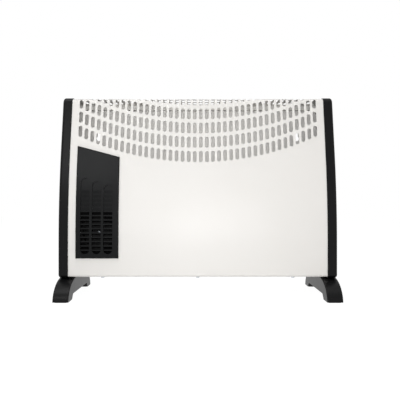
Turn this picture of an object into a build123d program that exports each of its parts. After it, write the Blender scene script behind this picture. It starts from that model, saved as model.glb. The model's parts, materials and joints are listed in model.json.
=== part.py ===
"""Free-standing electric convector heater with a turbo fan.

A folded steel casing stands between two moulded ends on two arched feet. Air enters through
the floor and the back, passes the heating coils and leaves through slots in the upper front
and the top. A blower behind the front grille pushes more air under the coils. The dial and
three rocker switches sit in a recess of the right-hand end.

Millimetres. X runs along the heater, Y from front to back and Z up. The origin is on the
floor, midway between the ends and between the toes of the feet.
"""

from build123d import *

import os
from math import cos, hypot, radians, sin, sqrt, tan

os.makedirs("parts", exist_ok=True)

# Overall sizes of the casing
body_width = 525
total_height = 385
body_depth = 120
foot_height = 39

# Side outline: upright at the bottom, then bulging and leaning back to the top
curve_start = 100
front_radius = 900
front_lean = 11
top_bend = 12
corner_bend = 6

# Moulded ends
side_width = 18.5
side_wall = 3
side_lip_wall = 1.5
side_edge_round = 5
boss_radius = 4
boss_length = 16
boss_rib = 3
boss_setback = 6

# Folded steel sheets
sheet = 0.8
sheet_gap = 0.2
sheet_tuck = 12
rear_lip = 22
rear_lip_overlap = 10
floor_flange = 14
rear_top_flange = 16
rear_bend = 4
rear_top_bend = 1.5
lip_screw_rise = 4.2

# Slots of the hot air outlet
slot_length = 22
slot_width = 7
slot_pitch = 11.6
slot_row_pitch = 28.5
slot_side_margin = 14
slot_drop = 108.8
slot_row_radius = 530
slot_end_margin = 2
slot_cut_depth = 9

# Inlet slots in the floor and the back
inlet_length = 28
inlet_width = 5
inlet_pitch = 12
inlet_row_y = 26
inlet_side_margin = 20
floor_plate_tuck = 2
cord_clearance = 20
back_inlet_length = 20
back_inlet_z = (68, 96)

# Front grille over the blower
grille_margin = 14.5
grille_width = 80.5
grille_bottom = 76
grille_top_left = 289
grille_top_right = 267.5
grille_thickness = 4
grille_edge_round = 1.2
level_cosine = 0.999
grille_recess = 2
grille_fit = 0.1
channel_count = 3
channel_margin = 9
channel_width = 17
channel_spacing = 21.6
channel_bottom = 84
channel_top = 227
channel_top_step = 6.5
slat_pitch = 8.1
slat_height = 2.6
slat_depth = 7
slat_fall = 2.5
slat_top = 163
groove_count = 5
groove_depth = 0.9
groove_lip = 0.1
window_margin = 2
channel_rib = 1.2
channel_rib_depth = 5
lug_width = 8
lug_height = 2.4
lug_depth = 3.5
lug_barb = 1
lug_inset = 7
lug_low_margin = 3
lug_high_margin = 12

# Feet
foot_length = 200
foot_width = 29
foot_toe = 66
foot_wall = 2.6
foot_arch_height = 10.5
foot_arch_slope = 10
foot_pad_length = 29
foot_edge_round = 1.5
rubber_width = 21
rubber_length = 22
rubber_stem = 3.4
rubber_proud = 1
rubber_lip = 1
rubber_corner = 3
foot_screw_y = 20
foot_screw_inset = 9.5
foot_screw_seat = 6
foot_screw_length = 18
foot_boss_radius = 6.2

# Hand grips in the moulded ends
grip_margin = 13
grip_height = 22
grip_depth = 14
grip_drop = 43
grip_corner = 8
pocket_wall = 2.5

# Control recess in the right-hand end
control_width = 44
control_height = 140
control_depth = 13
control_z = 194
control_corner = 6

# Dial and thermostat
knob_z = 235
knob_radius = 17
knob_gap = 1
knob_height = 11.5
knob_wall = 2.5
knob_top_wall = 3
knob_edge_round = 1.2
knob_hub_radius = 6
knob_scallops = 30
knob_scallop_radius = 1.1
knob_mark_width = 2
knob_mark_length = 12
knob_mark_depth = 0.8
spindle_radius = 3
spindle_flat = 2
thermostat_size = (20, 28, 24)
moulded_corner = 1
bush_radius = 5
bush_length = 6
spindle_depth = 7
nut_flats = 14
nut_height = 2.4

# Rocker switches
switch_names = ("low_heat", "high_heat", "fan")
switch_z = (188, 166, 144)
bezel_length = 23
bezel_height = 15
bezel_thickness = 1.8
switch_length = 20.4
switch_height = 12.8
switch_depth = 17
switch_wall = 1.1
rocker_angle = 12
rocker_half_length = 7.6
rocker_rise = 2.5
rocker_skirt = 3.2
rocker_keel = 2.5
rocker_heel = 1
pivot_radius = 1.2
pivot_inset = 0.5
pivot_length = 0.7
pivot_end_gap = 0.1
bezel_corner = 1.5
bezel_round = 0.7
blade_size = (9, 0.8, 6.3)
blade_spread = 5

# Heating elements and their tray
shield_depth = 70
shield_back_gap = 17.9
shield_bottom = 112
shield_height = 124
shield_left_gap = 24
shield_right_gap = 24
spacer_radius = 4
spacer_inset = 25
spacer_inset_z = 12
coil_radius = 3.5
coil_pitch = 25
coil_overhang = 3
high_coil_y = 15
high_coil_runs = 4
low_coil_y = -10
low_coil_runs = 2
coil_first_z = 136
bush_sleeve_radius = 5
bush_flange_radius = 6.5
bush_flange = 1.5
bush_sleeve_length = 4
mica_thickness = 1
mica_margin = 9
cutout_radius = 8
cutout_height = 7
cutout_strip = (30, 10, 1)

# Partition and terminals beside the controls
partition_offset = 52
partition_height = 250
partition_flange = 14
partition_margin = 8
partition_screw_spread = 6
terminal_size = (34, 20, 15)
terminal_poles = 3
terminal_well_radius = 3
terminal_well_depth = 5
terminal_y = 15
terminal_screw_radius = 2.4
terminal_screw_height = 3

# Blower
scroll_radius = 40
scroll_wall = 1.5
scroll_width = 36
scroll_front_gap = 7.5
scroll_eye = 30
duct_height = 24
duct_reach = 19
impeller_radius = 36
impeller_gap = 2
impeller_plate = 2
impeller_ring = 1.5
blade_count = 24
blade_chord = 7
blade_thickness = 1.2
blade_angle = 35
hub_radius = 5
hub_length = 12
shaft_radius = 1.5
bracket_sheet = 1.2
bracket_half_width = 27
bracket_foot = 26
bracket_above = 24
bracket_bore = 6
bracket_screw_spread = 18
core_width = 46
core_above = 17
core_below = 39
core_stack = 14
core_limb = 13
core_window = (26, 12)
motor_gap = 9.2
rotor_radius = 10.8
rotor_gap = 0.4
winding_width = 23
winding_build = 6
winding_corner = 3
bearing_sheet = 1.2
bearing_strip = (44, 12)
bearing_radius = 4.5
bearing_length = 6
shaft_end_gap = 1.2
motor_screw_spread = 18

# Cord inlet and wall keyholes in the back
cord_inlet_inset = 29
cord_inlet_z = 64
cord_bore = 3.75
cord_bush_wall = 2.6
cord_bush_flange = 2
cord_bush_overhang = 1.8
keyhole_spacing = 414
keyhole_z = 313
keyhole_entry = 5
keyhole_slot = 2.5
keyhole_rise = 10

# Fasteners and fits
screw_radius = 1.75
screw_head_radius = 3.5
screw_head_height = 2.2
screw_slot = 0.7
screw_slot_depth = 1
screw_fit = 0.1
head_fit = 0.7
rear_screw_length = 16
rear_screw_z = (70, 215)
floor_screw_length = 6
shield_screw_reach = 4
flange_screw_inset = 5
floor_screw_x = (-180, 0, 180)
slide_fit = 0.1
running_fit = 0.05

# Places worked out from the sizes above
front_y = -body_depth / 2
rear_y = body_depth / 2
side_outer = body_width / 2
side_inner = side_outer - side_width
boss_x = side_inner + boss_setback
sheet_inset = side_lip_wall + sheet_gap
sheet_half_width = side_inner + sheet_tuck
sheet_bottom = foot_height + sheet_inset
lip_y = rear_y - sheet_inset
rear_outer_y = lip_y - sheet
rear_inner_y = rear_outer_y - sheet
front_inner_y = front_y + sheet_inset + sheet
lip_bottom = total_height - sheet_inset - rear_lip
rear_panel_top = lip_bottom + rear_lip_overlap
floor_z = sheet_bottom + sheet
inside_z = floor_z + sheet
screw_hole = screw_radius + screw_fit
lip_screw_z = lip_bottom + lip_screw_rise
grip_z = total_height - grip_drop
flange_screw_y = lip_y - floor_flange + flange_screw_inset


def front_y_at(height, inset):
    """Y of the front outline, moved in by inset, at a height below the top bend."""
    radius = front_radius - inset
    bulge_top = curve_start + radius * sin(radians(front_lean))
    if height <= curve_start:
        return front_y + inset
    if height <= bulge_top:
        return front_y + front_radius - sqrt(radius**2 - (height - curve_start) ** 2)
    bulge_top_y = front_y + front_radius - radius * cos(radians(front_lean))
    return bulge_top_y + (height - bulge_top) * tan(radians(front_lean))


def front_and_top(inset):
    """Line up the front and along the top of the side outline, moved in by inset."""
    bend = top_bend - inset
    turn = 90 - front_lean
    bulge_top = curve_start + (front_radius - inset) * sin(radians(front_lean))
    bend_reach = bend * tan(radians(turn / 2)) * cos(radians(front_lean))
    slope_rise = total_height - inset - bulge_top - bend_reach
    with BuildLine() as path:
        upright = Line((front_y + inset, foot_height + corner_bend), (front_y + inset, curve_start))
        bulge = JernArc(upright @ 1, upright % 1, front_radius - inset, -front_lean)
        slope = PolarLine(
            bulge @ 1, slope_rise, direction=bulge % 1, length_mode=LengthMode.VERTICAL
        )
        corner = JernArc(slope @ 1, slope % 1, bend, -turn)
        Line(corner @ 1, (rear_y - corner_bend, total_height - inset))
    return path.wires()[0]


def casing_face(inset):
    """Side outline of the casing, moved in by inset; a negative inset moves it out."""
    bend = corner_bend - inset
    with BuildSketch() as face:
        with BuildLine():
            add(front_and_top(inset))
            top_rear = JernArc((rear_y - corner_bend, total_height - inset), (1, 0), bend, -90)
            back = Line(top_rear @ 1, (rear_y - inset, foot_height + corner_bend))
            low_rear = JernArc(back @ 1, (0, -1), bend, -90)
            base = Line(low_rear @ 1, (front_y + corner_bend, foot_height + inset))
            JernArc(base @ 1, (-1, 0), bend, -90)
        make_face()
    return face.sketch


def facing_front(y):
    """Upright plane at y that faces the front, with X to the right and Z up."""
    return Plane.XZ.offset(-y)


def pan_screw(length):
    """A pan head screw along +Z: its shank starts at the origin and its head is below."""
    with BuildPart() as screw:
        Cylinder(screw_radius, length, align=(Align.CENTER, Align.CENTER, Align.MIN))
        Cylinder(
            screw_head_radius, screw_head_height, align=(Align.CENTER, Align.CENTER, Align.MAX)
        )
        fillet(screw.edges().group_by(Axis.Z)[0], screw_head_height / 2)
        with BuildSketch(Plane.XY.offset(-screw_head_height)):
            Rectangle(screw_head_radius, screw_slot)
            Rectangle(screw_slot, screw_head_radius)
        extrude(amount=screw_slot_depth, mode=Mode.SUBTRACT)
    return screw.part


def screws_at(places, direction, length):
    """Pan head screws whose heads bear at the places, each driven along direction."""
    with BuildPart() as screws:
        with Locations(*[Plane(origin=place, z_dir=direction) for place in places]):
            add(pan_screw(length))
    return screws.part


# Front panel: one sheet makes the front, the top, a lip down the back and a flange below
outlet_line = front_and_top(sheet_inset)
straight_top = outlet_line.edges().sort_by(Axis.X)[-1].length
bend_start = outlet_line.length - straight_top - (top_bend - sheet_inset) * radians(90 - front_lean)
last_slot = outlet_line.length - slot_length / 2 - slot_end_margin


def outlet_slot_planes():
    """Planes on the panel's outer face, one for each slot of the hot air outlet."""
    columns = int((2 * (side_inner - slot_side_margin) - slot_width) / slot_pitch) + 1
    planes = []
    for column in range(columns):
        x = (column - (columns - 1) / 2) * slot_pitch
        rise = slot_row_radius - sqrt(slot_row_radius**2 - x**2)
        distance = bend_start - slot_drop + rise
        while distance <= last_slot:
            point = outlet_line.position_at(distance, PositionMode.LENGTH)
            along = outlet_line.tangent_at(distance, PositionMode.LENGTH)
            outward = Vector(0, -along.Y, along.X)
            planes.append(Plane(origin=(x, point.X, point.Y), x_dir=(1, 0, 0), z_dir=outward))
            distance += slot_row_pitch
    return planes


with BuildPart(mode=Mode.PRIVATE) as outlet_slot:
    with BuildSketch():
        SlotOverall(slot_length, slot_width, rotation=90)
    extrude(amount=slot_cut_depth / 2, both=True)

grille_left = -side_inner + grille_margin
grille_right = grille_left + grille_width
channel_x = [
    grille_left + channel_margin + channel_width / 2 + number * channel_spacing
    for number in range(channel_count)
]
window_left = channel_x[0] - channel_width / 2 - window_margin
window_right = channel_x[-1] + channel_width / 2 + window_margin
lug_places = [
    (x, z)
    for x in (grille_left + lug_inset, grille_right - lug_inset)
    for z in (grille_bottom + lug_low_margin, grille_top_right - lug_high_margin)
]

with BuildPart() as front_panel:
    with BuildSketch(Plane.YZ):
        add(casing_face(sheet_inset))
        add(casing_face(sheet_inset + sheet), mode=Mode.SUBTRACT)
        with Locations((rear_y, foot_height)):
            Rectangle(
                rear_y, lip_bottom - foot_height, align=(Align.MAX, Align.MIN), mode=Mode.SUBTRACT
            )
            Rectangle(
                rear_y + lip_y - floor_flange,
                2 * corner_bend,
                align=(Align.MAX, Align.MIN),
                mode=Mode.SUBTRACT,
            )
    extrude(amount=sheet_half_width, both=True)
    with BuildSketch(facing_front(0)):
        with Locations(((window_left + window_right) / 2, (channel_bottom + slat_top) / 2)):
            Rectangle(window_right - window_left, slat_top - channel_bottom + 2 * window_margin)
        with Locations(*lug_places):
            Rectangle(lug_width + 2 * slide_fit, lug_height + 2 * slide_fit)
    extrude(amount=body_depth, mode=Mode.SUBTRACT)
    with BuildSketch(facing_front(0)):
        for side in (-1, 1):
            with Locations((side * boss_x, lip_screw_z)):
                Circle(screw_hole)
    extrude(amount=-body_depth, mode=Mode.SUBTRACT)
    with BuildSketch(Plane.XY.offset(foot_height)):
        with Locations(*[(x, -flange_screw_y) for x in floor_screw_x]):
            Circle(screw_hole)
    extrude(amount=inside_z - foot_height, mode=Mode.SUBTRACT)
    with Locations(*outlet_slot_planes()):
        add(outlet_slot.part, mode=Mode.SUBTRACT)
front_panel.part.label = "front_panel"
export_step(front_panel.part, "parts/front_panel.step")
print("front panel", front_panel.part.volume, len(outlet_slot_planes()), "slots")


def folded_section(corners, bends, thickness, side):
    """Section of a folded sheet whose outer face follows corners, with its body on one side."""
    with BuildSketch() as section:
        with BuildLine():
            FilletPolyline(*corners, radius=list(bends))
            offset(amount=thickness, side=side)
        make_face()
    return section.sketch


# Rear panel: an upright sheet with a flange forward at the top and another at the floor
inlet_columns = int(2 * (side_inner - inlet_side_margin) / inlet_pitch) + 1
inlet_x = [(number - (inlet_columns - 1) / 2) * inlet_pitch for number in range(inlet_columns)]
cord_x = side_inner - cord_inlet_inset
cord_bush_radius = cord_bore + cord_bush_wall
partition_x = side_inner - partition_offset
shield_left = grille_right + shield_left_gap
shield_right = partition_x - shield_right_gap
shield_top = shield_bottom + shield_height
spacer_places = [
    (x, z)
    for x in (shield_left + spacer_inset, shield_right - spacer_inset)
    for z in (shield_bottom + spacer_inset_z, shield_top - spacer_inset_z)
]

with BuildPart() as rear_panel:
    with BuildSketch(Plane.YZ):
        add(
            folded_section(
                [
                    (rear_outer_y - floor_flange, sheet_bottom),
                    (rear_outer_y, sheet_bottom),
                    (rear_outer_y, rear_panel_top),
                    (rear_outer_y - rear_top_flange, rear_panel_top),
                ],
                (rear_bend, rear_top_bend),
                sheet,
                Side.LEFT,
            )
        )
    extrude(amount=sheet_half_width, both=True)
    with BuildSketch(facing_front(rear_y)):
        for x in inlet_x:
            if abs(x) < cord_x - cord_clearance:
                with Locations(*[(x, z) for z in back_inlet_z]):
                    SlotOverall(back_inlet_length, inlet_width, rotation=90)
        for side in (-1, 1):
            with Locations((side * keyhole_spacing / 2, keyhole_z)):
                Circle(keyhole_entry)
            with Locations((side * keyhole_spacing / 2, keyhole_z + keyhole_rise / 2)):
                SlotOverall(keyhole_rise + 2 * keyhole_slot, 2 * keyhole_slot, rotation=90)
            with Locations(*[(side * boss_x, z) for z in (*rear_screw_z, lip_screw_z)]):
                Circle(screw_hole)
        with Locations(*spacer_places):
            Circle(screw_hole)
        with Locations((cord_x, cord_inlet_z)):
            Circle(cord_bush_radius + slide_fit)
    extrude(amount=floor_flange, mode=Mode.SUBTRACT)
    with BuildSketch(Plane.XY.offset(foot_height)):
        with Locations(*[(x, flange_screw_y) for x in floor_screw_x]):
            Circle(screw_hole)
    extrude(amount=inside_z - foot_height, mode=Mode.SUBTRACT)
rear_panel.part.label = "rear_panel"
export_step(rear_panel.part, "parts/rear_panel.step")

# Floor grille: a slotted plate on the flanges of the two panels
fan_x = channel_x[len(channel_x) // 2]
fan_z = (channel_bottom + slat_top) / 2
terminal_x = (partition_x + side_inner) / 2
bracket_screws = [(fan_x - bracket_screw_spread, 0), (fan_x + bracket_screw_spread, 0)]
partition_screws = [
    (partition_x - partition_flange / 2, side * partition_screw_spread) for side in (-1, 1)
]
inner_floor_screws = bracket_screws + partition_screws
outer_floor_screws = [(x, side * flange_screw_y) for x in floor_screw_x for side in (-1, 1)]

with BuildPart() as floor_grille:
    with BuildSketch(Plane.XY.offset(floor_z)):
        Rectangle(2 * (side_inner + floor_plate_tuck), 2 * (rear_outer_y - rear_bend))
        with Locations(*[(x, side * inlet_row_y) for x in inlet_x for side in (-1, 1)]):
            SlotOverall(inlet_length, inlet_width, rotation=90, mode=Mode.SUBTRACT)
        with Locations(*inner_floor_screws, *outer_floor_screws):
            Circle(screw_hole, mode=Mode.SUBTRACT)
    extrude(amount=sheet)
floor_grille.part.label = "floor_grille"
export_step(floor_grille.part, "parts/floor_grille.step")


# Moulded ends: deep caps that wrap the edges of the sheets, with a hand grip in each
grip_front_y = front_y_at(grip_z + grip_height / 2, 0)
grip_y = (grip_front_y + rear_y) / 2
grip_width = rear_y - grip_front_y - 2 * grip_margin
foot_screw_x = side_outer - foot_screw_inset


def moulded_end(side, pockets):
    """One end of the casing, side -1 on the left or 1 on the right, with its pockets."""
    inner_plane = Plane.YZ.offset(side * side_inner)
    outer_plane = Plane.YZ.offset(side * side_outer)
    with BuildPart() as end:
        with BuildSketch(inner_plane):
            add(casing_face(0))
        extrude(amount=side * side_width)
        outer_face = end.faces().sort_by(Axis.X)[-1 if side > 0 else 0]
        fillet(outer_face.edges(), side_edge_round)
        with BuildSketch(inner_plane):
            add(casing_face(side_lip_wall))
        extrude(amount=side * (sheet_tuck + sheet_gap), mode=Mode.SUBTRACT)
        with BuildSketch(inner_plane):
            add(casing_face(side_wall))
        extrude(amount=side * (side_width - side_wall), mode=Mode.SUBTRACT)
        for y, z, width, height, depth, corner in pockets:
            with BuildSketch(outer_plane):
                with Locations((y, z)):
                    RectangleRounded(
                        width + 2 * pocket_wall, height + 2 * pocket_wall, corner + pocket_wall
                    )
            extrude(amount=-side * (depth + pocket_wall))
            with BuildSketch(outer_plane):
                with Locations((y, z)):
                    RectangleRounded(width, height, corner)
            extrude(amount=-side * depth, mode=Mode.SUBTRACT)
        rib_length = side_outer - side_wall / 2 - boss_x
        rear_places = [(side * boss_x, z) for z in (*rear_screw_z, lip_screw_z)]
        with BuildSketch(facing_front(rear_inner_y)):
            for x, z in rear_places:
                with Locations((x, z)):
                    Circle(boss_radius)
                with Locations((x + side * rib_length / 2, z)):
                    Rectangle(rib_length, boss_rib)
        extrude(amount=boss_length)
        foot_rib_length = side_outer - side_wall / 2 - foot_screw_x
        with BuildSketch(Plane.XY.offset(foot_height)):
            for y in (-foot_screw_y, foot_screw_y):
                with Locations((side * foot_screw_x, y)):
                    Circle(boss_radius)
                with Locations((side * (foot_screw_x + foot_rib_length / 2), y)):
                    Rectangle(foot_rib_length, boss_rib)
        extrude(amount=boss_length)
        with BuildSketch(facing_front(rear_inner_y)):
            with Locations(*rear_places):
                Circle(screw_hole)
        extrude(amount=boss_length, mode=Mode.SUBTRACT)
        with BuildSketch(facing_front(rear_y)):
            with Locations(*rear_places):
                Circle(screw_head_radius + head_fit)
        extrude(amount=side_lip_wall, mode=Mode.SUBTRACT)
        with BuildSketch(Plane.XY.offset(foot_height)):
            with Locations(*[(side * foot_screw_x, y) for y in (-foot_screw_y, foot_screw_y)]):
                Circle(screw_hole)
        extrude(amount=boss_length, mode=Mode.SUBTRACT)
    return end


control_floor_x = side_outer - control_depth
grip_pocket = (grip_y, grip_z, grip_width, grip_height, grip_depth, grip_corner)
control_pocket = (0, control_z, control_width, control_height, control_depth, control_corner)

left_end = moulded_end(-1, [grip_pocket])
left_end.part.label = "left_end"
export_step(left_end.part, "parts/left_end.step")

with BuildPart() as control_holes:
    with BuildSketch(Plane.YZ.offset(control_floor_x)):
        with Locations((0, knob_z)):
            Circle(bush_radius + slide_fit)
        with Locations(*[(0, z) for z in switch_z]):
            Rectangle(switch_length + 2 * slide_fit, switch_height + 2 * slide_fit)
    extrude(amount=-pocket_wall)

with BuildPart() as right_end:
    add(moulded_end(1, [grip_pocket, control_pocket]).part)
    add(control_holes.part, mode=Mode.SUBTRACT)
right_end.part.label = "right_end"
export_step(right_end.part, "parts/right_end.step")

# Front grille over the blower, which follows the bulge of the panel
grille_front = sheet_inset - grille_fit - grille_thickness


def grille_shell(near, far):
    """Curved slab across the grille between two insets of the side outline."""
    with BuildPart() as shell:
        with BuildSketch(Plane.YZ.offset(grille_left)):
            add(casing_face(near))
            add(casing_face(far), mode=Mode.SUBTRACT)
            with Locations((0, foot_height)):
                Rectangle(
                    body_depth, 2 * total_height, align=(Align.MIN, Align.CENTER), mode=Mode.SUBTRACT
                )
        extrude(amount=grille_width)
    return shell.part


def channel_prism(top_limit):
    """Upright prisms through the grille, one for each channel, cut off at top_limit."""
    with BuildPart() as prism:
        for number, x in enumerate(channel_x):
            top = channel_top - number * channel_top_step
            with BuildSketch(facing_front(0)):
                with Locations((x, (channel_bottom + top) / 2)):
                    SlotOverall(top - channel_bottom, channel_width, rotation=90)
                with Locations((x, top_limit)):
                    Rectangle(
                        2 * channel_width,
                        total_height,
                        align=(Align.CENTER, Align.MIN),
                        mode=Mode.SUBTRACT,
                    )
            extrude(amount=body_depth)
    return prism.part


with BuildPart() as channel_recess:
    add(grille_shell(grille_front - grille_recess, grille_front + grille_recess))
    add(channel_prism(total_height), mode=Mode.INTERSECT)

with BuildPart() as grooves:
    for number in range(groove_count):
        groove_low = slat_top + number * slat_pitch + slat_height
        groove_high = slat_top + (number + 1) * slat_pitch
        open_y = grille_front + grille_recess / 2
        deep_y = grille_front + grille_recess + groove_depth
        rim_y = grille_front + grille_recess + groove_lip
        for x in channel_x:
            with BuildSketch(Plane.YZ.offset(x - channel_width / 2)):
                with BuildLine():
                    Polyline(
                        (front_y_at(groove_low, open_y), groove_low),
                        (front_y_at(groove_low, deep_y), groove_low),
                        (front_y_at(groove_high, rim_y), groove_high),
                        (front_y_at(groove_high, open_y), groove_high),
                        close=True,
                    )
                make_face()
            extrude(amount=channel_width)

with BuildPart() as fan_grille:
    add(grille_shell(grille_front, sheet_inset - grille_fit))
    with BuildSketch(facing_front(0)):
        with BuildLine():
            Polyline(
                (grille_left, grille_bottom),
                (grille_right, grille_bottom),
                (grille_right, grille_top_right),
                (grille_left, grille_top_left),
                close=True,
            )
        make_face()
    extrude(amount=body_depth, mode=Mode.INTERSECT)
    front_edges = [
        edge
        for edge in fan_grille.edges()
        if edge.center().Y < front_y_at(edge.center().Z, grille_front) + grille_edge_round / 2
        and (
            abs(edge.tangent_at().X) < level_cosine
            or edge.center().Z < grille_bottom + grille_edge_round
        )
    ]
    fillet(front_edges, grille_edge_round)
    add(channel_recess.part, mode=Mode.SUBTRACT)
    add(grooves.part, mode=Mode.SUBTRACT)
    add(channel_prism(slat_top), mode=Mode.SUBTRACT)
    for number in range(1, round((slat_top - channel_bottom) / slat_pitch)):
        z = slat_top - number * slat_pitch
        y = front_y_at(z, grille_front + grille_recess)
        for x in channel_x:
            with BuildSketch(Plane.YZ.offset(x - channel_width / 2 - channel_rib)):
                with BuildLine():
                    Polyline(
                        (y, z),
                        (y, z + slat_height),
                        (y + slat_depth, z + slat_height - slat_fall),
                        (y + slat_depth, z - slat_fall),
                        close=True,
                    )
                make_face()
            extrude(amount=channel_width + 2 * channel_rib)
    rib_bottom = channel_bottom + channel_width / 2
    rib_front = front_y_at(slat_top, sheet_inset - grille_fit - grille_recess / 2)
    for x in channel_x:
        for side in (-1, 1):
            with BuildSketch(facing_front(front_y + sheet_inset + channel_rib_depth)):
                with Locations(
                    (x + side * (channel_width + channel_rib) / 2, (rib_bottom + slat_top) / 2)
                ):
                    Rectangle(channel_rib, slat_top - rib_bottom)
            extrude(amount=front_y + sheet_inset + channel_rib_depth - rib_front)
    for x, z in lug_places:
        back = front_y_at(z + lug_height + lug_barb, sheet_inset + sheet + slide_fit)
        with BuildSketch(facing_front(back + lug_depth)):
            with Locations((x, z)):
                Rectangle(lug_width, lug_height)
        extrude(amount=lug_depth + sheet + slide_fit + grille_thickness / 2)
        with BuildSketch(facing_front(back + lug_depth)):
            with Locations((x, z + lug_barb / 2)):
                Rectangle(lug_width, lug_height + lug_barb)
        extrude(amount=lug_depth)
fan_grille.part.label = "fan_grille"
export_step(fan_grille.part, "parts/fan_grille.step")
print("fan grille", fan_grille.part.volume, len(fan_grille.part.solids()))


# Feet: hollow arches with a rubber pad in each toe
foot_middle_x = side_outer - foot_width / 2
toe_start = foot_length / 2 - foot_toe
pad_middle = (foot_length - foot_pad_length) / 2
foot_screw_base = foot_height - foot_screw_seat


def foot_section(wall):
    """Side outline of a foot, moved in by wall: a flat top, two round toes and an arch."""
    slant = hypot(foot_arch_slope, foot_arch_height) / foot_arch_height
    arch_half = foot_length / 2 - foot_pad_length + wall * slant
    arch_top = foot_arch_height + wall
    arch_top_half = arch_half - arch_top * foot_arch_slope / foot_arch_height
    with BuildSketch() as section:
        Rectangle(2 * toe_start, 2 * (foot_height - wall))
        with Locations((-toe_start, 0), (toe_start, 0)):
            Ellipse(foot_toe - wall, foot_height - wall)
        with Locations((0, rubber_proud + wall)):
            Rectangle(
                foot_length, foot_height * 2, align=(Align.CENTER, Align.MAX), mode=Mode.SUBTRACT
            )
        with BuildLine():
            Polyline(
                (-arch_half, 0),
                (-arch_top_half, arch_top),
                (arch_top_half, arch_top),
                (arch_half, 0),
                close=True,
            )
        make_face(mode=Mode.SUBTRACT)
    return section.sketch


def arched_foot(side):
    """One foot, side -1 on the left or 1 on the right."""
    with BuildPart() as foot:
        with BuildSketch(Plane.YZ.offset(side * side_outer)):
            add(foot_section(0))
        extrude(amount=-side * foot_width)
        upper_edges = [
            edge
            for edge in foot.edges()
            if abs(abs(edge.center().X) - foot_middle_x) > foot_width / 2 - foot_edge_round
            and edge.center().Z > foot_arch_height + foot_edge_round
        ]
        fillet(upper_edges, foot_edge_round)
        with BuildSketch(Plane.YZ.offset(side * (side_outer - foot_wall))):
            add(foot_section(foot_wall))
        extrude(amount=-side * (foot_width - 2 * foot_wall), mode=Mode.SUBTRACT)
        pads = [(side * foot_middle_x, y) for y in (-pad_middle, pad_middle)]
        screws = [(side * foot_screw_x, y) for y in (-foot_screw_y, foot_screw_y)]
        with BuildSketch():
            with Locations(*pads):
                Rectangle(rubber_width + 2 * slide_fit, rubber_length + 2 * slide_fit)
        extrude(amount=rubber_proud + foot_wall, mode=Mode.SUBTRACT)
        with BuildSketch(Plane.XY.offset(foot_arch_height)):
            with Locations(*screws):
                Circle(foot_boss_radius)
        extrude(amount=foot_height - foot_wall / 2 - foot_arch_height)
        with BuildSketch():
            with Locations(*screws):
                Circle(screw_head_radius + head_fit)
        extrude(amount=foot_screw_base, mode=Mode.SUBTRACT)
        with BuildSketch():
            with Locations(*screws):
                Circle(screw_hole)
        extrude(amount=foot_height, mode=Mode.SUBTRACT)
    return foot


def rubber_pad(x, y):
    """Rubber pad that plugs into the bottom of a toe."""
    with BuildPart() as pad:
        with BuildSketch():
            with Locations((x, y)):
                RectangleRounded(
                    rubber_width + 2 * rubber_lip, rubber_length + 2 * rubber_lip, rubber_corner
                )
        extrude(amount=rubber_proud)
        with BuildSketch(Plane.XY.offset(rubber_proud)):
            with Locations((x, y)):
                Rectangle(rubber_width, rubber_length)
        extrude(amount=rubber_stem)
    return pad


for side, side_name in ((-1, "left"), (1, "right")):
    foot = arched_foot(side)
    foot.part.label = f"{side_name}_foot"
    export_step(foot.part, f"parts/{side_name}_foot.step")
    for end, end_name in ((-1, "front"), (1, "rear")):
        pad = rubber_pad(side * foot_middle_x, end * pad_middle)
        pad.part.label = f"{end_name}_{side_name}_pad"
        export_step(pad.part, f"parts/{end_name}_{side_name}_pad.step")


# Screws of the casing: into the feet, up through the floor and in from the back
up = (0, 0, 1)
forward = (0, -1, 0)
foot_screw_places = [
    (side * foot_screw_x, end * foot_screw_y, foot_screw_base) for side in (-1, 1) for end in (-1, 1)
]
rear_screw_places = [
    (side * boss_x, y, z)
    for side in (-1, 1)
    for y, z in [(rear_outer_y, z) for z in rear_screw_z] + [(lip_y, lip_screw_z)]
]
screw_groups = {
    "foot_screws": (foot_screw_places, up, foot_screw_length),
    "floor_screws": ([(x, y, sheet_bottom) for x, y in outer_floor_screws], up, floor_screw_length),
    "bracket_screws": ([(x, y, floor_z) for x, y in inner_floor_screws], up, floor_screw_length),
    "rear_screws": (rear_screw_places, forward, rear_screw_length),
    "shield_screws": (
        [(x, rear_outer_y, z) for x, z in spacer_places],
        forward,
        shield_back_gap + shield_screw_reach,
    ),
}
for name, (places, direction, length) in screw_groups.items():
    screws = screws_at(places, direction, length)
    screws.label = name
    export_step(screws, f"parts/{name}.step")


# Dial: a hollow knob on the flatted spindle of the thermostat behind the recess
def spindle_section(clearance):
    """Round section with a flat for the knob, made larger by clearance."""
    with BuildSketch() as section:
        Circle(spindle_radius + clearance)
        with Locations((0, spindle_flat + clearance)):
            Rectangle(
                3 * spindle_radius, spindle_radius, align=(Align.CENTER, Align.MIN), mode=Mode.SUBTRACT
            )
    return section.sketch


knob_bottom = control_floor_x + knob_gap
knob_top = knob_bottom + knob_height
knob_inside = knob_top - knob_top_wall
thermostat_face = control_floor_x - pocket_wall
bush_end = thermostat_face + bush_length
spindle_start = thermostat_face - spindle_depth
knob_centre = (0, knob_z)

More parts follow.
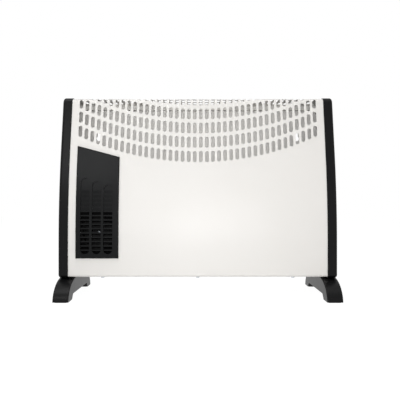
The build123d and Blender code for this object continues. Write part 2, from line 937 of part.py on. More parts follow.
with BuildPart() as thermostat_knob:
    with BuildSketch(Plane.YZ.offset(knob_bottom)):
        with Locations(knob_centre):
            Circle(knob_radius)
            with PolarLocations(knob_radius + knob_scallop_radius / 2, knob_scallops):
                Circle(knob_scallop_radius, mode=Mode.SUBTRACT)
    extrude(amount=knob_height)
    fillet(thermostat_knob.faces().sort_by(Axis.X)[-1].edges(), knob_edge_round)
    with BuildSketch(Plane.YZ.offset(knob_bottom)):
        with Locations(knob_centre):
            Circle(knob_radius - knob_wall)
            Circle(knob_hub_radius, mode=Mode.SUBTRACT)
    extrude(amount=knob_inside - knob_bottom, mode=Mode.SUBTRACT)
    with BuildSketch(Plane.YZ.offset(knob_bottom)):
        with Locations(knob_centre):
            Circle(knob_hub_radius)
    extrude(amount=bush_end + slide_fit - knob_bottom, mode=Mode.SUBTRACT)
    with BuildSketch(Plane.YZ.offset(knob_bottom)):
        with Locations(knob_centre):
            add(spindle_section(slide_fit / 2))
    extrude(amount=knob_inside - knob_bottom, mode=Mode.SUBTRACT)
    with BuildSketch(Plane.YZ.offset(knob_top)):
        with Locations((0, knob_z + knob_radius - knob_wall - knob_mark_length / 2)):
            SlotOverall(knob_mark_length, knob_mark_width, rotation=90)
    extrude(amount=-knob_mark_depth, mode=Mode.SUBTRACT)
thermostat_knob.part.label = "thermostat_knob"
export_step(thermostat_knob.part, "parts/thermostat_knob.step")

with BuildPart() as thermostat_spindle:
    with BuildSketch(Plane.YZ.offset(spindle_start)):
        with Locations(knob_centre):
            Circle(spindle_radius)
    extrude(amount=bush_end - spindle_start)
    with BuildSketch(Plane.YZ.offset(bush_end)):
        with Locations(knob_centre):
            add(spindle_section(0))
    extrude(amount=knob_inside - slide_fit - bush_end)
thermostat_spindle.part.label = "thermostat_spindle"
export_step(thermostat_spindle.part, "parts/thermostat_spindle.step")

with BuildPart() as thermostat:
    depth, width, height = thermostat_size
    with BuildSketch(Plane.YZ.offset(thermostat_face)):
        with Locations(knob_centre):
            Rectangle(width, height)
    extrude(amount=-depth)
    fillet(thermostat.edges().filter_by(Axis.X), moulded_corner)
    with BuildSketch(Plane.YZ.offset(thermostat_face)):
        with Locations(knob_centre):
            Circle(bush_radius)
    extrude(amount=bush_length)
    with BuildSketch(Plane.YZ.offset(spindle_start - slide_fit)):
        with Locations(knob_centre):
            Circle(spindle_radius + running_fit)
    extrude(amount=bush_end - spindle_start + slide_fit, mode=Mode.SUBTRACT)
    with BuildSketch(Plane.YZ.offset(thermostat_face - depth)):
        with Locations((-blade_spread, knob_z), (blade_spread, knob_z)):
            Rectangle(blade_size[1], blade_size[2])
    extrude(amount=-blade_size[0])
thermostat.part.label = "thermostat"
export_step(thermostat.part, "parts/thermostat.step")

with BuildPart() as thermostat_nut:
    with BuildSketch(Plane.YZ.offset(control_floor_x)):
        with Locations(knob_centre):
            RegularPolygon(nut_flats / 2, 6, major_radius=False)
            Circle(bush_radius + running_fit, mode=Mode.SUBTRACT)
    extrude(amount=nut_height)
thermostat_nut.part.label = "thermostat_nut"
export_step(thermostat_nut.part, "parts/thermostat_nut.step")

# Rocker switches: a housing clipped into the recess and a rocker on two stub pivots
pivot_x = control_floor_x - pivot_inset
rocker_width = switch_height - 2 * switch_wall - 2 * slide_fit
switch_back = control_floor_x - switch_depth


def switch_housing(z):
    """Housing of the switch at height z: a bezel, a deep box and two contact blades."""
    with BuildPart() as housing:
        with BuildSketch(Plane.YZ.offset(control_floor_x)):
            with Locations((0, z)):
                RectangleRounded(bezel_length, bezel_height, bezel_corner)
        extrude(amount=bezel_thickness)
        fillet(housing.faces().sort_by(Axis.X)[-1].edges(), bezel_round)
        with BuildSketch(Plane.YZ.offset(control_floor_x)):
            with Locations((0, z)):
                Rectangle(switch_length, switch_height)
        extrude(amount=-switch_depth)
        with BuildSketch(Plane.YZ.offset(switch_back + switch_wall)):
            with Locations((0, z)):
                Rectangle(switch_length - 2 * switch_wall, switch_height - 2 * switch_wall)
        extrude(amount=switch_depth + bezel_thickness, mode=Mode.SUBTRACT)
        with BuildSketch(Plane.XY.offset(z)):
            with Locations((pivot_x, 0)):
                Circle(pivot_radius + running_fit)
        extrude(
            amount=rocker_width / 2 + pivot_length + pivot_end_gap, both=True, mode=Mode.SUBTRACT
        )
        with BuildSketch(Plane.YZ.offset(switch_back)):
            with Locations((-blade_spread, z), (blade_spread, z)):
                Rectangle(blade_size[1], blade_size[2])
        extrude(amount=-blade_size[0])
    return housing


def rocker(z):
    """Rocker at height z, tipped to its off position about its pivots."""
    lift = rocker_half_length * tan(radians(rocker_angle))
    tipped = Plane(
        origin=(pivot_x, 0, z),
        x_dir=(cos(radians(rocker_angle)), -sin(radians(rocker_angle)), 0),
        z_dir=(0, 0, 1),
    )
    with BuildPart() as paddle:
        with BuildSketch(tipped):
            with BuildLine():
                Polyline(
                    (rocker_rise, 0),
                    (rocker_rise + lift, rocker_half_length),
                    (-rocker_heel, rocker_half_length),
                    (-rocker_skirt, rocker_keel),
                    (-rocker_skirt, -rocker_keel),
                    (-rocker_heel, -rocker_half_length),
                    (rocker_rise + lift, -rocker_half_length),
                    close=True,
                )
            make_face()
        extrude(amount=rocker_width / 2, both=True)
        with BuildSketch(tipped):
            Circle(pivot_radius)
        extrude(amount=rocker_width / 2 + pivot_length, both=True)
    return paddle


for name, z in zip(switch_names, switch_z):
    housing = switch_housing(z)
    housing.part.label = f"{name}_switch"
    export_step(housing.part, f"parts/{name}_switch.step")
    paddle = rocker(z)
    paddle.part.label = f"{name}_rocker"
    export_step(paddle.part, f"parts/{name}_rocker.step")

# Heat shield: a tray open above and below, with the coils strung between its two ends
shield_back_y = rear_inner_y - shield_back_gap
shield_back_face = shield_back_y - sheet
shield_middle = (shield_left + shield_right) / 2
shield_length = shield_right - shield_left
coil_groups = {
    "high_heat_coil": (high_coil_y, coil_first_z, high_coil_runs),
    "low_heat_coil": (low_coil_y, coil_first_z + coil_pitch / 2, low_coil_runs),
}
coil_places = [
    (y, first + number * coil_pitch)
    for y, first, runs in coil_groups.values()
    for number in range(runs)
]

with BuildPart() as heat_shield:
    with BuildSketch(Plane.XY.offset(shield_bottom)):
        with Locations((shield_middle, shield_back_y)):
            Rectangle(shield_length, shield_depth + sheet, align=(Align.CENTER, Align.MAX))
        with Locations((shield_middle, shield_back_face)):
            Rectangle(
                shield_length - 2 * sheet,
                shield_depth,
                align=(Align.CENTER, Align.MAX),
                mode=Mode.SUBTRACT,
            )
    extrude(amount=shield_height)
    with BuildSketch(Plane.YZ.offset(shield_left)):
        with Locations(*coil_places):
            Circle(bush_sleeve_radius + slide_fit)
    extrude(amount=shield_length, mode=Mode.SUBTRACT)
    with BuildSketch(facing_front(shield_back_y)):
        with Locations(*spacer_places):
            Circle(screw_hole)
    extrude(amount=sheet, mode=Mode.SUBTRACT)
heat_shield.part.label = "heat_shield"
export_step(heat_shield.part, "parts/heat_shield.step")

with BuildPart() as shield_spacers:
    with BuildSketch(facing_front(rear_inner_y)):
        with Locations(*spacer_places):
            Circle(spacer_radius)
            Circle(screw_hole, mode=Mode.SUBTRACT)
    extrude(amount=shield_back_gap)
shield_spacers.part.label = "shield_spacers"
export_step(shield_spacers.part, "parts/shield_spacers.step")


def coil(y, first_z, runs):
    """Coil at depth y, as one rod that runs to and fro between the ends of the tray."""
    right = shield_right + coil_overhang
    left = shield_left - coil_overhang
    with BuildPart() as element:
        with BuildLine(facing_front(y)):
            for number in range(runs):
                z = first_z + number * coil_pitch
                Line((left, z), (right, z))
                turn_x, turn = (right, 1) if number % 2 else (left, -1)
                if number < runs - 1:
                    middle = (turn_x + turn * coil_pitch / 2, z + coil_pitch / 2)
                    ThreePointArc((turn_x, z), middle, (turn_x, z + coil_pitch))
        with BuildSketch(Plane(origin=(right, y, first_z), z_dir=(-1, 0, 0))):
            Circle(coil_radius)
        sweep()
    return element


for name, (y, first_z, runs) in coil_groups.items():
    element = coil(y, first_z, runs)
    element.part.label = name
    export_step(element.part, f"parts/{name}.step")

with BuildPart() as ceramic_bushes:
    for end_x, outward in ((shield_left, -1), (shield_right, 1)):
        inner_x = end_x - outward * sheet
        with BuildSketch(Plane.YZ.offset(inner_x)):
            with Locations(*coil_places):
                Circle(bush_flange_radius)
                Circle(coil_radius + slide_fit, mode=Mode.SUBTRACT)
        extrude(amount=-outward * bush_flange)
        with BuildSketch(Plane.YZ.offset(inner_x)):
            with Locations(*coil_places):
                Circle(bush_sleeve_radius)
                Circle(coil_radius + slide_fit, mode=Mode.SUBTRACT)
        extrude(amount=outward * (bush_sleeve_length - bush_flange))
ceramic_bushes.part.label = "ceramic_bushes"
export_step(ceramic_bushes.part, "parts/ceramic_bushes.step")

for part_way, name in ((1 / 3, "left_mica_support"), (2 / 3, "right_mica_support")):
    with BuildPart() as mica_support:
        with BuildSketch(Plane.YZ.offset(shield_left + part_way * shield_length)):
            with Locations((shield_back_face, shield_bottom + mica_margin)):
                Rectangle(
                    shield_depth - mica_margin,
                    shield_height - 2 * mica_margin,
                    align=(Align.MAX, Align.MIN),
                )
            with Locations(*coil_places):
                Circle(coil_radius + slide_fit, mode=Mode.SUBTRACT)
        extrude(amount=mica_thickness)
    mica_support.part.label = name
    export_step(mica_support.part, f"parts/{name}.step")

with BuildPart() as thermal_cutout:
    with BuildSketch(facing_front(shield_back_face)):
        with Locations((shield_middle, shield_top - cutout_radius)):
            Rectangle(cutout_strip[0], cutout_strip[1])
    extrude(amount=cutout_strip[2])
    with BuildSketch(facing_front(shield_back_face)):
        with Locations((shield_middle, shield_top - cutout_radius)):
            Circle(cutout_radius)
    extrude(amount=cutout_height)
thermal_cutout.part.label = "thermal_cutout"
export_step(thermal_cutout.part, "parts/thermal_cutout.step")

# Partition: an upright plate between the heating space and the controls
with BuildPart() as partition:
    with BuildSketch(Plane.XY.offset(inside_z)):
        with Locations((partition_x, 0)):
            Rectangle(
                sheet, 2 * (rear_inner_y - 2 * partition_margin), align=(Align.MIN, Align.CENTER)
            )
    extrude(amount=partition_height)
    with BuildSketch(Plane.XY.offset(inside_z)):
        with Locations((partition_x, 0)):
            Rectangle(
                partition_flange,
                2 * (rear_inner_y - 2 * partition_margin),
                align=(Align.MAX, Align.CENTER),
            )
        with Locations(*partition_screws):
            Circle(screw_hole, mode=Mode.SUBTRACT)
    extrude(amount=sheet)
    with BuildSketch(Plane.YZ.offset(partition_x)):
        with BuildLine():
            limit = front_and_top(sheet_inset + partition_margin)
            add(limit)
            Polyline(limit @ 1, (rear_y, total_height), (rear_y, 0), (front_y, 0), limit @ 0)
        make_face()
    extrude(amount=2 * partition_flange, both=True, mode=Mode.INTERSECT)
partition.part.label = "partition"
export_step(partition.part, "parts/partition.step")

with BuildPart() as terminal_block:
    length, width, height = terminal_size
    wells = [
        (
            terminal_x + (pole - (terminal_poles - 1) / 2) * length / terminal_poles,
            terminal_y + end * width / 4,
        )
        for pole in range(terminal_poles)
        for end in (-1, 1)
    ]
    with BuildSketch(Plane.XY.offset(inside_z)):
        with Locations((terminal_x, terminal_y)):
            Rectangle(length, width)
    extrude(amount=height)
    fillet(terminal_block.edges().filter_by(Axis.Z), moulded_corner)
    with BuildSketch(Plane.XY.offset(inside_z + height)):
        with Locations(*wells):
            Circle(terminal_well_radius)
    extrude(amount=-terminal_well_depth, mode=Mode.SUBTRACT)
terminal_block.part.label = "terminal_block"
export_step(terminal_block.part, "parts/terminal_block.step")

with BuildPart() as terminal_screws:
    screw_base = inside_z + terminal_size[2] - terminal_well_depth
    with BuildSketch(Plane.XY.offset(screw_base)):
        with Locations(*wells):
            Circle(terminal_screw_radius)
    extrude(amount=terminal_screw_height)
    with BuildSketch(Plane.XY.offset(screw_base + terminal_screw_height - screw_slot_depth)):
        with Locations(*wells):
            Rectangle(2 * terminal_screw_radius, screw_slot)
    extrude(amount=screw_slot_depth, mode=Mode.SUBTRACT)
terminal_screws.part.label = "terminal_screws"
export_step(terminal_screws.part, "parts/terminal_screws.step")

# Blower: a scroll housing in front of an upright bracket, with the motor behind it
scroll_front_y = front_inner_y + scroll_front_gap
scroll_back_y = scroll_front_y + scroll_width
bracket_back_y = scroll_back_y + bracket_sheet
front_bearing_y = bracket_back_y + motor_gap
core_front_y = front_bearing_y + bearing_sheet
core_back_y = core_front_y + core_stack
rear_bearing_y = core_back_y + bearing_sheet
fan_centre = (fan_x, fan_z)
motor_screw_places = [(fan_x + side * motor_screw_spread, fan_z) for side in (-1, 1)]


def scroll_section(wall):
    """Outline of the scroll and its outlet duct, moved in by wall."""
    duct_end = grille_right + duct_reach
    with BuildSketch() as section:
        with Locations(fan_centre):
            Circle(scroll_radius - wall)
        with Locations((fan_x, fan_z - scroll_radius + wall)):
            Rectangle(duct_end - fan_x, duct_height - 2 * wall, align=(Align.MIN, Align.MIN))
    return section.sketch


with BuildPart() as fan_housing:
    with BuildSketch(facing_front(scroll_back_y)):
        add(scroll_section(0))
    extrude(amount=scroll_width)
    with BuildSketch(facing_front(scroll_back_y - scroll_wall)):
        add(scroll_section(scroll_wall))
    extrude(amount=scroll_width - 2 * scroll_wall, mode=Mode.SUBTRACT)
    with BuildSketch(facing_front(scroll_back_y)):
        with Locations(fan_centre):
            Circle(bracket_bore)
        with Locations(*motor_screw_places):
            Circle(screw_hole)
    extrude(amount=scroll_wall, mode=Mode.SUBTRACT)
    with BuildSketch(facing_front(scroll_front_y + scroll_wall)):
        with Locations(fan_centre):
            Circle(scroll_eye)
    extrude(amount=scroll_wall, mode=Mode.SUBTRACT)
fan_housing.part.label = "fan_housing"
export_step(fan_housing.part, "parts/fan_housing.step")

with BuildPart() as fan_bracket:
    with BuildSketch(facing_front(bracket_back_y)):
        with Locations((fan_x, inside_z)):
            Rectangle(
                2 * bracket_half_width,
                fan_z + bracket_above - inside_z,
                align=(Align.CENTER, Align.MIN),
            )
        with Locations(fan_centre):
            Circle(bracket_bore, mode=Mode.SUBTRACT)
        with Locations(*motor_screw_places):
            Circle(screw_hole, mode=Mode.SUBTRACT)
    extrude(amount=bracket_sheet)
    with BuildSketch(Plane.XY.offset(inside_z)):
        with Locations((fan_x, scroll_back_y)):
            Rectangle(2 * bracket_half_width, bracket_foot, align=(Align.CENTER, Align.MIN))
        with Locations(*bracket_screws):
            Circle(screw_hole, mode=Mode.SUBTRACT)
    extrude(amount=bracket_sheet)
fan_bracket.part.label = "fan_bracket"
export_step(fan_bracket.part, "parts/fan_bracket.step")

impeller_back_y = scroll_back_y - scroll_wall - impeller_gap
impeller_front_y = scroll_front_y + scroll_wall + impeller_gap
blade_ring = impeller_radius - blade_chord / 2

with BuildPart() as impeller:
    with BuildSketch(facing_front(impeller_back_y)):
        with Locations(fan_centre):
            Circle(impeller_radius)
    extrude(amount=impeller_plate)
    with BuildSketch(facing_front(impeller_back_y)):
        with Locations(fan_centre):
            Circle(hub_radius)
    extrude(amount=hub_length)
    with BuildSketch(facing_front(impeller_back_y)):
        with Locations(fan_centre):
            with PolarLocations(blade_ring, blade_count):
                Rectangle(blade_chord - blade_thickness, blade_thickness, rotation=blade_angle)
    extrude(amount=impeller_back_y - impeller_front_y)
    with BuildSketch(facing_front(impeller_front_y + impeller_ring)):
        with Locations(fan_centre):
            Circle(impeller_radius)
            Circle(impeller_radius - blade_chord, mode=Mode.SUBTRACT)
    extrude(amount=impeller_ring)
    with BuildSketch(facing_front(impeller_back_y)):
        with Locations(fan_centre):
            Circle(shaft_radius)
    extrude(amount=hub_length, mode=Mode.SUBTRACT)
impeller.part.label = "impeller"
export_step(impeller.part, "parts/impeller.step")

with BuildPart() as motor_rotor:
    shaft_back_y = rear_bearing_y + bearing_length - shaft_end_gap
    with BuildSketch(facing_front(shaft_back_y)):
        with Locations(fan_centre):
            Circle(shaft_radius)
    extrude(amount=shaft_back_y - impeller_back_y + hub_length - shaft_end_gap)
    with BuildSketch(facing_front(core_back_y - rotor_gap)):
        with Locations(fan_centre):
            Circle(rotor_radius)
    extrude(amount=core_stack - 2 * rotor_gap)
motor_rotor.part.label = "motor_rotor"
export_step(motor_rotor.part, "parts/motor_rotor.step")

core_bottom = fan_z - core_below
winding_z = core_bottom + core_limb / 2
with BuildPart() as motor_core:
    with BuildSketch(facing_front(core_back_y)):
        with Locations((fan_x, core_bottom)):
            Rectangle(core_width, core_above + core_below, align=(Align.CENTER, Align.MIN))
        with Locations((fan_x, core_bottom + core_limb)):
            Rectangle(*core_window, align=(Align.CENTER, Align.MIN), mode=Mode.SUBTRACT)
        with Locations(fan_centre):
            Circle(rotor_radius + rotor_gap, mode=Mode.SUBTRACT)
        with Locations(*motor_screw_places):
            Circle(screw_hole, mode=Mode.SUBTRACT)
    extrude(amount=core_stack)
motor_core.part.label = "motor_core"
export_step(motor_core.part, "parts/motor_core.step")

with BuildPart() as motor_winding:
    with BuildSketch(Plane.YZ.offset(fan_x - winding_width / 2)):
        with Locations(((core_front_y + core_back_y) / 2, winding_z)):
            RectangleRounded(
                core_stack + 2 * winding_build, core_limb + 2 * winding_build, winding_corner
            )
            Rectangle(
                core_stack + 2 * slide_fit, core_limb + 2 * slide_fit, mode=Mode.SUBTRACT
            )
    extrude(amount=winding_width)
motor_winding.part.label = "motor_winding"
export_step(motor_winding.part, "parts/motor_winding.step")

for name, plate_y, outward in (
    ("front_bearing", front_bearing_y, -1),
    ("rear_bearing", rear_bearing_y, 1),
):
    strip_y = core_front_y if outward < 0 else rear_bearing_y
    with BuildPart() as bearing:
        with BuildSketch(facing_front(strip_y)):
            with Locations(fan_centre):
                Rectangle(*bearing_strip)
        extrude(amount=bearing_sheet)
        with BuildSketch(facing_front(plate_y)):
            with Locations(fan_centre):
                Circle(bearing_radius)
        extrude(amount=-outward * bearing_length)
        with BuildSketch(facing_front(strip_y)):
            with Locations(fan_centre):
                Circle(shaft_radius + running_fit)
            with Locations(*motor_screw_places):
                Circle(screw_hole)
        extrude(amount=2 * bearing_length, both=True, mode=Mode.SUBTRACT)
    bearing.part.label = name
    export_step(bearing.part, f"parts/{name}.step")

with BuildPart() as motor_spacers:
    with BuildSketch(facing_front(front_bearing_y)):
        with Locations(*motor_screw_places):
            Circle(spacer_radius)
            Circle(screw_hole, mode=Mode.SUBTRACT)
    extrude(amount=motor_gap)
motor_spacers.part.label = "motor_spacers"
export_step(motor_spacers.part, "parts/motor_spacers.step")

motor_screws = screws_at(
    [(x, rear_bearing_y, z) for x, z in motor_screw_places],
    forward,
    rear_bearing_y - scroll_back_y + scroll_wall / 2,
)
motor_screws.label = "motor_screws"
export_step(motor_screws, "parts/motor_screws.step")

# Cord bush: a grommet in the back panel, left open because no cord is fitted
with BuildPart() as cord_bush:
    with BuildSketch(facing_front(rear_outer_y + cord_bush_flange)):
        with Locations((cord_x, cord_inlet_z)):
            Circle(cord_bush_radius)
    extrude(amount=2 * cord_bush_flange + sheet)
    with BuildSketch(facing_front(rear_outer_y + cord_bush_flange)):
        with Locations((cord_x, cord_inlet_z)):
            Circle(cord_bush_radius + cord_bush_overhang)
    extrude(amount=cord_bush_flange)
    with BuildSketch(facing_front(rear_inner_y)):
        with Locations((cord_x, cord_inlet_z)):
            Circle(cord_bush_radius + cord_bush_overhang)
    extrude(amount=cord_bush_flange)
    with BuildSketch(facing_front(rear_outer_y + cord_bush_flange)):
        with Locations((cord_x, cord_inlet_z)):
            Circle(cord_bore)
    extrude(amount=2 * cord_bush_flange + sheet, mode=Mode.SUBTRACT)
cord_bush.part.label = "cord_bush"
export_step(cord_bush.part, "parts/cord_bush.step")
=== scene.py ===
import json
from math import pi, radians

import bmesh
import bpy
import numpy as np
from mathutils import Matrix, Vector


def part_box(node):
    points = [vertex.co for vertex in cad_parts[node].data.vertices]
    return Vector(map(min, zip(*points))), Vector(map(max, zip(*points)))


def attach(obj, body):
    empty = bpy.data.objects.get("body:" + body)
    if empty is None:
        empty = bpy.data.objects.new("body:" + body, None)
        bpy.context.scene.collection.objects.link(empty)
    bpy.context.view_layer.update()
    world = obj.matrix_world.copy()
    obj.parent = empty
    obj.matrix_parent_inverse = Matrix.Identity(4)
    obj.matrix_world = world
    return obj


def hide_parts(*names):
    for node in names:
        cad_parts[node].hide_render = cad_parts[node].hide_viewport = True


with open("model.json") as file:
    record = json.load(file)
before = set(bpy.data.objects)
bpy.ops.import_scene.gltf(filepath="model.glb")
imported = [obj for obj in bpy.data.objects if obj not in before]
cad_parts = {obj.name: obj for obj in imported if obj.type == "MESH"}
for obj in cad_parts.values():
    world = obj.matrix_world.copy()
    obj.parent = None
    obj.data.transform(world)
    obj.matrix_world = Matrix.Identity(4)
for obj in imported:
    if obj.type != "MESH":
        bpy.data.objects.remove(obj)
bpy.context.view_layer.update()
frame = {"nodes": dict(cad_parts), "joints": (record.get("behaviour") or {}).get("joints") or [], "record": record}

# %% [markdown]
# # A convector heater with a turbo fan
#
# The heater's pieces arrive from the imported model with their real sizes, in metres, with +Z up
# and the front facing -Y. This lesson gives each of them the finish of the real material, adds
# what is too fine or too curly for the construction model, and lights the whole as a product
# photograph on white. Nearly everything new is a surface worked out with numpy: a formula over a
# grid of two parameters, which is short to write, exact in size and the same on every run.

MM = 0.001
nodes = frame["nodes"]
pivots = {joint["name"]: joint["pos_m"] for joint in frame["joints"]}
print(len(nodes), "pieces from the model")

# %% [markdown]
# ## The camera
#
# A camera can be set by eye or worked out. Here it was worked out: the two feet, the ends and
# the slots give enough straight lines to find where the photographer stood. The camera is level,
# at half the height of the heater and about a metre away, so that the feet show their tops and
# the outlet at the top shows its curve. The small shift only frames the picture.

# %% Camera
CAMERA_DISTANCE = 1.060
CAMERA_HEIGHT = 0.195
FOCAL_LENGTH = 47.97
SENSOR_WIDTH = 36
SHIFT = (0.0055, -0.0125)

camera_data = bpy.data.cameras.new("camera")
camera_data.sensor_width = SENSOR_WIDTH
camera_data.lens = FOCAL_LENGTH
camera_data.shift_x, camera_data.shift_y = SHIFT
camera = bpy.data.objects.new("camera", camera_data)
camera.location = (0, -CAMERA_DISTANCE, CAMERA_HEIGHT)
camera.rotation_euler = (radians(90), 0, 0)
bpy.context.scene.collection.objects.link(camera)
bpy.context.scene.camera = camera
bpy.context.scene.view_settings.view_transform = "Standard"
print("camera", CAMERA_DISTANCE, "m in front, lens", FOCAL_LENGTH, "mm")

# %% [markdown]
# ## Two small helpers for finishes
#
# Paint charts give colours as sRGB hex values, and shaders work in linear light, so one function
# turns the first into the second. A second function adds a shader node: its settings fill
# properties or inputs by name, and its links join inputs to what feeds them. With these two,
# each finish below reads as a list of what the real surface has.

# %% Colour and node helpers
def linear(code):
    """Linear colour of an sRGB hex code.

    Up to 0.04045 a channel is divided by 12.92, above that it is ((c + 0.055) / 1.055) ** 2.4.
    """
    channels = np.array([int(code[i : i + 2], 16) for i in (1, 3, 5)]) / 255
    curved = ((channels + 0.055) / 1.055) ** 2.4
    return (*np.where(channels <= 0.04045, channels / 12.92, curved).tolist(), 1.0)


def add_node(owner, kind, settings=None, links=None):
    """Adds a node to a material or world; settings fill it in and links feed its inputs."""
    node = owner.node_tree.nodes.new(kind)
    for key, value in (settings or {}).items():
        if isinstance(key, int) or key in node.inputs:
            node.inputs[key].default_value = value
        else:
            setattr(node, key, value)
    for key, output in (links or {}).items():
        owner.node_tree.links.new(output, node.inputs[key])
    return node


print("middle grey in linear light", [round(channel, 3) for channel in linear("#808080")[:3]])

# %% [markdown]
# ## What a surface needs: a tone, a sheen and a grain
#
# No moulded, painted or rolled surface is one flat colour. Its tone drifts a little over
# centimetres, its sheen drifts with it, and its skin has a grain. All three come from noise that
# is read in the object's own coordinates, so it stays put when the camera moves. The size of
# each pattern is its real size in millimetres: coordinates are divided by it before the noise
# reads them, one size for each axis, so a rolled sheet can have a long grain.

# %% Coordinates in pattern sizes
def in_pattern_units(material, size_mm):
    """Object position counted in pattern sizes: each axis divided by its size in millimetres."""
    sizes = np.broadcast_to(np.asarray(size_mm, float), 3) * MM
    position = add_node(material, "ShaderNodeTexCoord")
    mapping = add_node(
        material,
        "ShaderNodeMapping",
        {"Scale": tuple((1 / sizes).tolist())},
        {"Vector": position.outputs["Object"]},
    )
    return mapping.outputs["Vector"]


print("noise of size 90 mm reads coordinates times", round(1 / (90 * MM), 2))


# %% Surface helper
COLOUR_INPUTS = (6, 7)
COLOUR_RESULT = 2
DRIFT_DETAIL = 2.0
GRAIN_DETAIL = 3.0


def surface(name, tones, drift_mm, roughness, grain_mm, grain_depth_mm, **shader_inputs):
    """A finish whose tone and roughness drift between two values, under a fine bumpy grain.

    tones are two hex colours and roughness two values, mixed by a soft noise of size drift_mm;
    the grain is a finer noise of size grain_mm that lifts the surface by grain_depth_mm. Other
    values go to the shader's own inputs, with _ in place of a space.
    """
    material = bpy.data.materials.new(name)
    material.use_nodes = True
    shader = material.node_tree.nodes["Principled BSDF"]
    drift = add_node(
        material,
        "ShaderNodeTexNoise",
        {"Scale": 1.0, "Detail": DRIFT_DETAIL},
        {"Vector": in_pattern_units(material, drift_mm)},
    )
    tone = add_node(
        material,
        "ShaderNodeMix",
        {
            "data_type": "RGBA",
            COLOUR_INPUTS[0]: linear(tones[0]),
            COLOUR_INPUTS[1]: linear(tones[1]),
        },
        {0: drift.outputs[0]},
    )
    sheen = add_node(
        material,
        "ShaderNodeMapRange",
        {"To Min": roughness[0], "To Max": roughness[1]},
        {"Value": drift.outputs[0]},
    )
    grain = add_node(
        material,
        "ShaderNodeTexNoise",
        {"Scale": 1.0, "Detail": GRAIN_DETAIL},
        {"Vector": in_pattern_units(material, grain_mm)},
    )
    bump = add_node(
        material,
        "ShaderNodeBump",
        {"Strength": 1.0, "Distance": grain_depth_mm * MM},
        {"Height": grain.outputs[0]},
    )
    link = material.node_tree.links.new
    link(tone.outputs[COLOUR_RESULT], shader.inputs["Base Color"])
    link(sheen.outputs["Result"], shader.inputs["Roughness"])
    link(bump.outputs["Normal"], shader.inputs["Normal"])
    for key, value in shader_inputs.items():
        shader.inputs[key.replace("_", " ")].default_value = value
    return material


print("a mix node's two colours are its inputs", COLOUR_INPUTS)

# %% [markdown]
# ## The painted steel
#
# The front, the top and the back are folded sheet with a baked powder coat. The powder melts
# into a satin film that never levels fully: from near by it shows a shallow ripple, called
# orange peel, a couple of millimetres across. A warm white with a roughness near 0.4 gives the
# soft broad sheen of the photograph without a hard reflection.

# %% Powder coat
powder_coat = surface(
    "powder_coated_steel", tones=("#F4F2EF", "#F1EFEB"), drift_mm=90, roughness=(0.38, 0.46),
    grain_mm=2.2, grain_depth_mm=0.012, IOR=1.5,
)
print("finish", powder_coat.name)

# %% [markdown]
# ## The black mouldings
#
# The ends, the feet and the blower grille are black ABS and polypropylene from spark-eroded
# tools. That texture is a field of tiny pits, 0.2 to 0.4 mm across, which spreads the highlight
# and makes the black look dark grey where light grazes it. It is drawn about twice as coarse
# here, so that it still shows. The studio round the heater is white on every side, far brighter
# than a room, so these plastics get less than the usual mirror share of light: that keeps them
# as black as they are in the photograph. The dial has a finer texture.

# %% Textured and satin plastics
spark_abs = surface(
    "spark_textured_abs", tones=("#101011", "#0D0D0E"), drift_mm=60, roughness=(0.28, 0.34),
    grain_mm=0.7, grain_depth_mm=0.02, Specular_IOR_Level=0.12,
)
spark_polypropylene = surface(
    "spark_textured_polypropylene", tones=("#101112", "#0D0E0F"), drift_mm=40,
    roughness=(0.28, 0.33), grain_mm=0.7, grain_depth_mm=0.02, Specular_IOR_Level=0.12,
)
satin_abs = surface(
    "satin_abs", tones=("#19191A", "#151516"), drift_mm=20, roughness=(0.34, 0.42),
    grain_mm=0.5, grain_depth_mm=0.012, Specular_IOR_Level=0.25,
)
print("textured", spark_abs.name, spark_polypropylene.name, satin_abs.name)

# %% [markdown]
# ## The rockers
#
# Switch rockers come from polished tools and are meant to be found at a glance. Gloss ABS has a
# roughness under 0.2 and the full mirror share of a plastic. Its only grain is the faint sink of
# a thin moulding over its ribs, a few millimetres across and a few thousandths deep.

# %% Gloss plastics
black_gloss_abs = surface(
    "gloss_black_abs", tones=("#151516", "#121213"), drift_mm=12, roughness=(0.14, 0.2),
    grain_mm=4, grain_depth_mm=0.006, IOR=1.53,
)
red_gloss_abs = surface(
    "gloss_red_abs", tones=("#B8241C", "#AC1F18"), drift_mm=12, roughness=(0.14, 0.2),
    grain_mm=4, grain_depth_mm=0.006, IOR=1.53,
)
print("gloss", black_gloss_abs.name, red_gloss_abs.name)

# %% [markdown]
# ## Nylon, phenolic and rubber
#
# The blower's housing and wheel are glass-filled nylon, drawn almost black as painted shade: it
# stands for the dark inside behind the grille, so that nothing pale shows there. Terminal blocks
# are plain nylon, which is a milky cream. Thermostats and cut-outs stand heat in brown phenolic, a
# hard resin with a slightly mottled tone. The feet stand on rubber, which hardly shines at all.

# %% Working plastics and rubber
# near black here is painted shade for the dark inside behind the grille
nylon_painted_shade = surface(
    "glass_filled_nylon_painted_shade", tones=("#101011", "#0C0C0D"), drift_mm=25, roughness=(0.5, 0.65),
    grain_mm=0.6, grain_depth_mm=0.03, Specular_IOR_Level=0.15,
)
natural_nylon = surface(
    "natural_nylon", tones=("#E8E5DB", "#DEDACD"), drift_mm=10, roughness=(0.36, 0.44),
    grain_mm=0.8, grain_depth_mm=0.01, IOR=1.53,
)
phenolic = surface(
    "moulded_phenolic", tones=("#3B2519", "#2B1A11"), drift_mm=5, roughness=(0.3, 0.45),
    grain_mm=0.5, grain_depth_mm=0.015, IOR=1.6,
)
vulcanised_rubber = surface(
    "vulcanised_rubber", tones=("#1A1A1A", "#141414"), drift_mm=9, roughness=(0.72, 0.86),
    grain_mm=0.6, grain_depth_mm=0.03, Specular_IOR_Level=0.2,
)
print("working parts", nylon_painted_shade.name, natural_nylon.name, phenolic.name)

